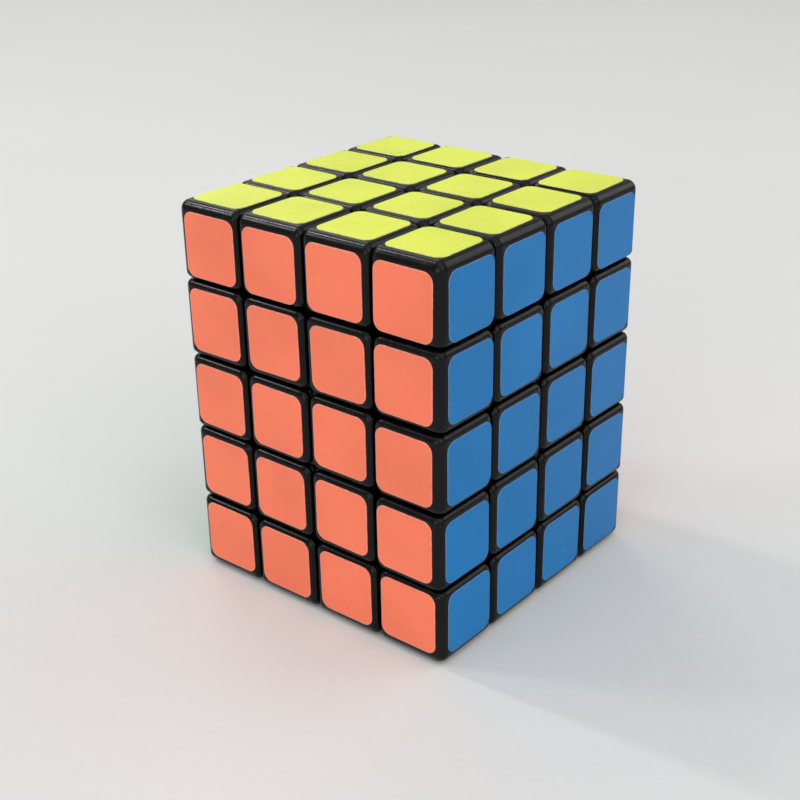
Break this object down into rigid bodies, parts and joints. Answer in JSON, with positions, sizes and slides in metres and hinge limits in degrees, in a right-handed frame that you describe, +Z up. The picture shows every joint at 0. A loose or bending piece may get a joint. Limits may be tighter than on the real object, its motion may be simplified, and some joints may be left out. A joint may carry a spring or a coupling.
{
  "type": "twisty puzzle block",
  "caption": "Block-shaped twisty puzzle, taller than it is wide, with stickered cubies in turning layers around a hidden core with sprung screws.",
  "frame": {"origin": "middle of the bottom face, where the puzzle rests", "axes": "+Z up through the five layers; the front face (orange stickers) looks along -Y and the right face (blue stickers) along +X"},
  "size_m": [0.062, 0.062, 0.0775],
  "materials": {
    "cubie_plastic": "semi-gloss black moulded plastic",
    "carrier_plastic": "satin dark grey moulded plastic",
    "core_plastic": "matte pale grey moulded plastic",
    "screw_steel": "zinc-plated steel",
    "spring_steel": "drawn spring steel wire"
  },
  "bodies": {
    "core": {"core_spider": "core_plastic", "front_screw": "screw_steel", "right_screw": "screw_steel", "back_screw": "screw_steel", "left_screw": "screw_steel", "top_screw": "screw_steel", "bottom_screw": "screw_steel", "front_spring": "spring_steel", "right_spring": "spring_steel", "back_spring": "spring_steel", "left_spring": "spring_steel", "top_spring": "spring_steel", "bottom_spring": "spring_steel"},
    "front_centre_3": {"front_centre_pair_layer_3": "cubie_plastic", "front_carrier": "carrier_plastic"},
    "right_centre_3": {"right_centre_pair_layer_3": "cubie_plastic", "right_carrier": "carrier_plastic"},
    "back_centre_3": {"back_centre_pair_layer_3": "cubie_plastic", "back_carrier": "carrier_plastic"},
    "left_centre_3": {"left_centre_pair_layer_3": "cubie_plastic", "left_carrier": "carrier_plastic"},
    "top_centre": {"top_centre_block": "cubie_plastic"},
    "bottom_centre": {"bottom_centre_block": "cubie_plastic"},
    "edge_front_right_3": {"upright_edge_front_right_layer_3": "cubie_plastic"},
    "edge_back_right_3": {"upright_edge_back_right_layer_3": "cubie_plastic"},
    "edge_back_left_3": {"upright_edge_back_left_layer_3": "cubie_plastic"},
    "edge_front_left_3": {"upright_edge_front_left_layer_3": "cubie_plastic"},
    "front_centre_4": {"front_centre_pair_layer_4": "cubie_plastic"},
    "right_centre_4": {"right_centre_pair_layer_4": "cubie_plastic"},
    "back_centre_4": {"back_centre_pair_layer_4": "cubie_plastic"},
    "left_centre_4": {"left_centre_pair_layer_4": "cubie_plastic"},
    "edge_front_right_4": {"upright_edge_front_right_layer_4": "cubie_plastic"},
    "edge_back_right_4": {"upright_edge_back_right_layer_4": "cubie_plastic"},
    "edge_back_left_4": {"upright_edge_back_left_layer_4": "cubie_plastic"},
    "edge_front_left_4": {"upright_edge_front_left_layer_4": "cubie_plastic"},
    "front_centre_2": {"front_centre_pair_layer_2": "cubie_plastic"},
    "right_centre_2": {"right_centre_pair_layer_2": "cubie_plastic"},
    "back_centre_2": {"back_centre_pair_layer_2": "cubie_plastic"},
    "left_centre_2": {"left_centre_pair_layer_2": "cubie_plastic"},
    "edge_front_right_2": {"upright_edge_front_right_layer_2": "cubie_plastic"},
    "edge_back_right_2": {"upright_edge_back_right_layer_2": "cubie_plastic"},
    "edge_back_left_2": {"upright_edge_back_left_layer_2": "cubie_plastic"},
    "edge_front_left_2": {"upright_edge_front_left_layer_2": "cubie_plastic"},
    "top_edge_front": {"top_edge_pair_front": "cubie_plastic"},
    "top_edge_right": {"top_edge_pair_right": "cubie_plastic"},
    "top_edge_back": {"top_edge_pair_back": "cubie_plastic"},
    "top_edge_left": {"top_edge_pair_left": "cubie_plastic"},
    "top_corner_front_right": {"top_corner_front_right": "cubie_plastic"},
    "top_corner_back_right": {"top_corner_back_right": "cubie_plastic"},
    "top_corner_back_left": {"top_corner_back_left": "cubie_plastic"},
    "top_corner_front_left": {"top_corner_front_left": "cubie_plastic"},
    "bottom_edge_front": {"bottom_edge_pair_front": "cubie_plastic"},
    "bottom_edge_right": {"bottom_edge_pair_right": "cubie_plastic"},
    "bottom_edge_back": {"bottom_edge_pair_back": "cubie_plastic"},
    "bottom_edge_left": {"bottom_edge_pair_left": "cubie_plastic"},
    "bottom_corner_front_right": {"bottom_corner_front_right": "cubie_plastic"},
    "bottom_corner_back_right": {"bottom_corner_back_right": "cubie_plastic"},
    "bottom_corner_back_left": {"bottom_corner_back_left": "cubie_plastic"},
    "bottom_corner_front_left": {"bottom_corner_front_left": "cubie_plastic"}
  },
  "joints": [
    {"name": "front_turn", "type": "hinge", "parent": "core", "child": "front_centre_3", "pos_m": [0, 0, 0.03875], "axis": [0, 1, 0], "range_deg": [-180, 180]},
    {"name": "right_turn", "type": "hinge", "parent": "core", "child": "right_centre_3", "pos_m": [0, 0, 0.03875], "axis": [1, 0, 0], "range_deg": [-180, 180]},
    {"name": "back_turn", "type": "hinge", "parent": "core", "child": "back_centre_3", "pos_m": [0, 0, 0.03875], "axis": [0, 1, 0], "range_deg": [-180, 180]},
    {"name": "left_turn", "type": "hinge", "parent": "core", "child": "left_centre_3", "pos_m": [0, 0, 0.03875], "axis": [1, 0, 0], "range_deg": [-180, 180]},
    {"name": "layer_5_turn", "type": "hinge", "parent": "core", "child": "top_centre", "pos_m": [0, 0, 0.03875], "axis": [0, 0, 1], "continuous": true},
    {"name": "layer_1_turn", "type": "hinge", "parent": "core", "child": "bottom_centre", "pos_m": [0, 0, 0.03875], "axis": [0, 0, 1], "continuous": true},
    {"name": "front_turn_edge_right", "type": "hinge", "parent": "right_centre_3", "child": "edge_front_right_3", "pos_m": [0, 0, 0.03875], "axis": [0, 1, 0], "range_deg": [-180, 180]},
    {"name": "back_turn_edge_right", "type": "hinge", "parent": "right_centre_3", "child": "edge_back_right_3", "pos_m": [0, 0, 0.03875], "axis": [0, 1, 0], "range_deg": [-180, 180]},
    {"name": "back_turn_edge_left", "type": "hinge", "parent": "left_centre_3", "child": "edge_back_left_3", "pos_m": [0, 0, 0.03875], "axis": [0, 1, 0], "range_deg": [-180, 180]},
    {"name": "front_turn_edge_left", "type": "hinge", "parent": "left_centre_3", "child": "edge_front_left_3", "pos_m": [0, 0, 0.03875], "axis": [0, 1, 0], "range_deg": [-180, 180]},
    {"name": "layer_4_turn", "type": "hinge", "parent": "front_centre_3", "child": "front_centre_4", "pos_m": [0, 0, 0.03875], "axis": [0, 0, 1], "continuous": true},
    {"name": "layer_4_turn_right", "type": "hinge", "parent": "right_centre_3", "child": "right_centre_4", "pos_m": [0, 0, 0.03875], "axis": [0, 0, 1], "continuous": true},
    {"name": "layer_4_turn_back", "type": "hinge", "parent": "back_centre_3", "child": "back_centre_4", "pos_m": [0, 0, 0.03875], "axis": [0, 0, 1], "continuous": true},
    {"name": "layer_4_turn_left", "type": "hinge", "parent": "left_centre_3", "child": "left_centre_4", "pos_m": [0, 0, 0.03875], "axis": [0, 0, 1], "continuous": true},
    {"name": "layer_4_turn_front_right", "type": "hinge", "parent": "edge_front_right_3", "child": "edge_front_right_4", "pos_m": [0, 0, 0.03875], "axis": [0, 0, 1], "continuous": true},
    {"name": "layer_4_turn_back_right", "type": "hinge", "parent": "edge_back_right_3", "child": "edge_back_right_4", "pos_m": [0, 0, 0.03875], "axis": [0, 0, 1], "continuous": true},
    {"name": "layer_4_turn_back_left", "type": "hinge", "parent": "edge_back_left_3", "child": "edge_back_left_4", "pos_m": [0, 0, 0.03875], "axis": [0, 0, 1], "continuous": true},
    {"name": "layer_4_turn_front_left", "type": "hinge", "parent": "edge_front_left_3", "child": "edge_front_left_4", "pos_m": [0, 0, 0.03875], "axis": [0, 0, 1], "continuous": true},
    {"name": "layer_2_turn", "type": "hinge", "parent": "front_centre_3", "child": "front_centre_2", "pos_m": [0, 0, 0.03875], "axis": [0, 0, 1], "continuous": true},
    {"name": "layer_2_turn_right", "type": "hinge", "parent": "right_centre_3", "child": "right_centre_2", "pos_m": [0, 0, 0.03875], "axis": [0, 0, 1], "continuous": true},
    {"name": "layer_2_turn_back", "type": "hinge", "parent": "back_centre_3", "child": "back_centre_2", "pos_m": [0, 0, 0.03875], "axis": [0, 0, 1], "continuous": true},
    {"name": "layer_2_turn_left", "type": "hinge", "parent": "left_centre_3", "child": "left_centre_2", "pos_m": [0, 0, 0.03875], "axis": [0, 0, 1], "continuous": true},
    {"name": "layer_2_turn_front_right", "type": "hinge", "parent": "edge_front_right_3", "child": "edge_front_right_2", "pos_m": [0, 0, 0.03875], "axis": [0, 0, 1], "continuous": true},
    {"name": "layer_2_turn_back_right", "type": "hinge", "parent": "edge_back_right_3", "child": "edge_back_right_2", "pos_m": [0, 0, 0.03875], "axis": [0, 0, 1], "continuous": true},
    {"name": "layer_2_turn_back_left", "type": "hinge", "parent": "edge_back_left_3", "child": "edge_back_left_2", "pos_m": [0, 0, 0.03875], "axis": [0, 0, 1], "continuous": true},
    {"name": "layer_2_turn_front_left", "type": "hinge", "parent": "edge_front_left_3", "child": "edge_front_left_2", "pos_m": [0, 0, 0.03875], "axis": [0, 0, 1], "continuous": true},
    {"name": "layer_5_turn_front", "type": "hinge", "parent": "front_centre_3", "child": "top_edge_front", "pos_m": [0, 0, 0.03875], "axis": [0, 0, 1], "continuous": true},
    {"name": "layer_5_turn_right", "type": "hinge", "parent": "right_centre_3", "child": "top_edge_right", "pos_m": [0, 0, 0.03875], "axis": [0, 0, 1], "continuous": true},
    {"name": "layer_5_turn_back", "type": "hinge", "parent": "back_centre_3", "child": "top_edge_back", "pos_m": [0, 0, 0.03875], "axis": [0, 0, 1], "continuous": true},
    {"name": "layer_5_turn_left", "type": "hinge", "parent": "left_centre_3", "child": "top_edge_left", "pos_m": [0, 0, 0.03875], "axis": [0, 0, 1], "continuous": true},
    {"name": "layer_5_turn_front_right", "type": "hinge", "parent": "edge_front_right_3", "child": "top_corner_front_right", "pos_m": [0, 0, 0.03875], "axis": [0, 0, 1], "continuous": true},
    {"name": "layer_5_turn_back_right", "type": "hinge", "parent": "edge_back_right_3", "child": "top_corner_back_right", "pos_m": [0, 0, 0.03875], "axis": [0, 0, 1], "continuous": true},
    {"name": "layer_5_turn_back_left", "type": "hinge", "parent": "edge_back_left_3", "child": "top_corner_back_left", "pos_m": [0, 0, 0.03875], "axis": [0, 0, 1], "continuous": true},
    {"name": "layer_5_turn_front_left", "type": "hinge", "parent": "edge_front_left_3", "child": "top_corner_front_left", "pos_m": [0, 0, 0.03875], "axis": [0, 0, 1], "continuous": true},
    {"name": "layer_1_turn_front", "type": "hinge", "parent": "front_centre_3", "child": "bottom_edge_front", "pos_m": [0, 0, 0.03875], "axis": [0, 0, 1], "continuous": true},
    {"name": "layer_1_turn_right", "type": "hinge", "parent": "right_centre_3", "child": "bottom_edge_right", "pos_m": [0, 0, 0.03875], "axis": [0, 0, 1], "continuous": true},
    {"name": "layer_1_turn_back", "type": "hinge", "parent": "back_centre_3", "child": "bottom_edge_back", "pos_m": [0, 0, 0.03875], "axis": [0, 0, 1], "continuous": true},
    {"name": "layer_1_turn_left", "type": "hinge", "parent": "left_centre_3", "child": "bottom_edge_left", "pos_m": [0, 0, 0.03875], "axis": [0, 0, 1], "continuous": true},
    {"name": "layer_1_turn_front_right", "type": "hinge", "parent": "edge_front_right_3", "child": "bottom_corner_front_right", "pos_m": [0, 0, 0.03875], "axis": [0, 0, 1], "continuous": true},
    {"name": "layer_1_turn_back_right", "type": "hinge", "parent": "edge_back_right_3", "child": "bottom_corner_back_right", "pos_m": [0, 0, 0.03875], "axis": [0, 0, 1], "continuous": true},
    {"name": "layer_1_turn_back_left", "type": "hinge", "parent": "edge_back_left_3", "child": "bottom_corner_back_left", "pos_m": [0, 0, 0.03875], "axis": [0, 0, 1], "continuous": true},
    {"name": "layer_1_turn_front_left", "type": "hinge", "parent": "edge_front_left_3", "child": "bottom_corner_front_left", "pos_m": [0, 0, 0.03875], "axis": [0, 0, 1], "continuous": true}
  ],
  "couplings": [
    {"joint": "front_turn_edge_right", "follows": "front_turn", "ratio": 1},
    {"joint": "back_turn_edge_right", "follows": "back_turn", "ratio": 1},
    {"joint": "back_turn_edge_left", "follows": "back_turn", "ratio": 1},
    {"joint": "front_turn_edge_left", "follows": "front_turn", "ratio": 1},
    {"joint": "layer_4_turn_right", "follows": "layer_4_turn", "ratio": 1},
    {"joint": "layer_4_turn_back", "follows": "layer_4_turn", "ratio": 1},
    {"joint": "layer_4_turn_left", "follows": "layer_4_turn", "ratio": 1},
    {"joint": "layer_4_turn_front_right", "follows": "layer_4_turn", "ratio": 1},
    {"joint": "layer_4_turn_back_right", "follows": "layer_4_turn", "ratio": 1},
    {"joint": "layer_4_turn_back_left", "follows": "layer_4_turn", "ratio": 1},
    {"joint": "layer_4_turn_front_left", "follows": "layer_4_turn", "ratio": 1},
    {"joint": "layer_2_turn_right", "follows": "layer_2_turn", "ratio": 1},
    {"joint": "layer_2_turn_back", "follows": "layer_2_turn", "ratio": 1},
    {"joint": "layer_2_turn_left", "follows": "layer_2_turn", "ratio": 1},
    {"joint": "layer_2_turn_front_right", "follows": "layer_2_turn", "ratio": 1},
    {"joint": "layer_2_turn_back_right", "follows": "layer_2_turn", "ratio": 1},
    {"joint": "layer_2_turn_back_left", "follows": "layer_2_turn", "ratio": 1},
    {"joint": "layer_2_turn_front_left", "follows": "layer_2_turn", "ratio": 1},
    {"joint": "layer_5_turn_front", "follows": "layer_5_turn", "ratio": 1},
    {"joint": "layer_5_turn_right", "follows": "layer_5_turn", "ratio": 1},
    {"joint": "layer_5_turn_back", "follows": "layer_5_turn", "ratio": 1},
    {"joint": "layer_5_turn_left", "follows": "layer_5_turn", "ratio": 1},
    {"joint": "layer_5_turn_front_right", "follows": "layer_5_turn", "ratio": 1},
    {"joint": "layer_5_turn_back_right", "follows": "layer_5_turn", "ratio": 1},
    {"joint": "layer_5_turn_back_left", "follows": "layer_5_turn", "ratio": 1},
    {"joint": "layer_5_turn_front_left", "follows": "layer_5_turn", "ratio": 1},
    {"joint": "layer_1_turn_front", "follows": "layer_1_turn", "ratio": 1},
    {"joint": "layer_1_turn_right", "follows": "layer_1_turn", "ratio": 1},
    {"joint": "layer_1_turn_back", "follows": "layer_1_turn", "ratio": 1},
    {"joint": "layer_1_turn_left", "follows": "layer_1_turn", "ratio": 1},
    {"joint": "layer_1_turn_front_right", "follows": "layer_1_turn", "ratio": 1},
    {"joint": "layer_1_turn_back_right", "follows": "layer_1_turn", "ratio": 1},
    {"joint": "layer_1_turn_back_left", "follows": "layer_1_turn", "ratio": 1},
    {"joint": "layer_1_turn_front_left", "follows": "layer_1_turn", "ratio": 1}
  ]
}
